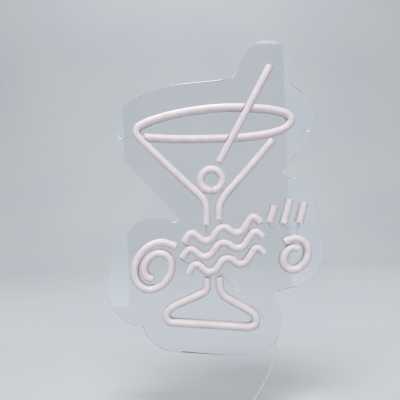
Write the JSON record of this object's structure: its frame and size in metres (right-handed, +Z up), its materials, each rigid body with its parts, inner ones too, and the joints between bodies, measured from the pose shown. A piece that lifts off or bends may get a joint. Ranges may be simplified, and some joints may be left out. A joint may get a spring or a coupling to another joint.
{
  "type": "neon advertising sign",
  "caption": "Light-up wall sign: milky flexible light tubes bent into a stemmed glass with a stick, seated on a clear contour-cut board with hanging holes and a low-voltage lead.",
  "frame": {"origin": "midway between the two wall holes, on the wall plane (the board's back face)", "axes": "+Z up, +X to the right seen from the front, +Y into the wall; the tubes face -Y"},
  "size_m": [0.2302, 0.0258, 0.3952],
  "materials": {
    "clear_acrylic": "clear, polished faces, laser-cut edge",
    "milky_silicone": "satin, milky, slightly warm white",
    "strip_laminate": "white solder mask",
    "led_package": "phosphor under clear resin",
    "sealing_silicone": "cured satin",
    "clear_wire": "clear insulation over tinned strands",
    "clear_lead": "clear flat insulation over tinned strands",
    "tie_pvc": "satin white",
    "moulded_pvc": "fine moulded satin",
    "insert_nylon": "smooth",
    "plated_contact": "bright nickel plate"
  },
  "bodies": {
    "root": {"back_board": "clear_acrylic", "end_plugs": "sealing_silicone", "hank_tie": "tie_pvc", "jumper_base": "clear_wire", "jumper_ring_left": "clear_wire", "jumper_ring_right": "clear_wire", "jumper_scroll": "clear_wire", "jumper_scroll_small": "clear_wire", "jumper_stem_left": "clear_wire", "jumper_stem_right": "clear_wire", "jumper_streak_long": "clear_wire", "jumper_streak_short": "clear_wire", "jumper_wave_lower": "clear_wire", "jumper_wave_streak": "clear_wire", "jumper_wave_upper": "clear_wire", "lead_hank": "clear_lead", "lead_tail": "clear_lead", "led_packages": "led_package", "led_strip_base": "strip_laminate", "led_strip_right_side": "strip_laminate", "led_strip_rim_front": "strip_laminate", "led_strip_rim_loop": "strip_laminate", "led_strip_rim_side": "strip_laminate", "led_strip_ring": "strip_laminate", "led_strip_scroll": "strip_laminate", "led_strip_scroll_small": "strip_laminate", "led_strip_stick": "strip_laminate", "led_strip_streak_end": "strip_laminate", "led_strip_streak_long": "strip_laminate", "led_strip_streak_short": "strip_laminate", "led_strip_wave_bottom": "strip_laminate", "led_strip_wave_middle": "strip_laminate", "led_strip_wave_top": "strip_laminate", "sleeve_base": "milky_silicone", "sleeve_right_side": "milky_silicone", "sleeve_rim_front": "milky_silicone", "sleeve_rim_loop": "milky_silicone", "sleeve_rim_side": "milky_silicone", "sleeve_ring": "milky_silicone", "sleeve_scroll": "milky_silicone", "sleeve_scroll_small": "milky_silicone", "sleeve_stick": "milky_silicone", "sleeve_streak_end": "milky_silicone", "sleeve_streak_long": "milky_silicone", "sleeve_streak_short": "milky_silicone", "sleeve_wave_bottom": "milky_silicone", "sleeve_wave_middle": "milky_silicone", "sleeve_wave_top": "milky_silicone", "socket_contact": "plated_contact", "socket_insert": "insert_nylon", "socket_pin": "plated_contact", "socket_shell": "moulded_pvc", "strain_relief": "moulded_pvc", "supply_core_left": "clear_wire", "supply_core_right": "clear_wire", "supply_lead": "clear_lead"}
  },
  "joints": []
}
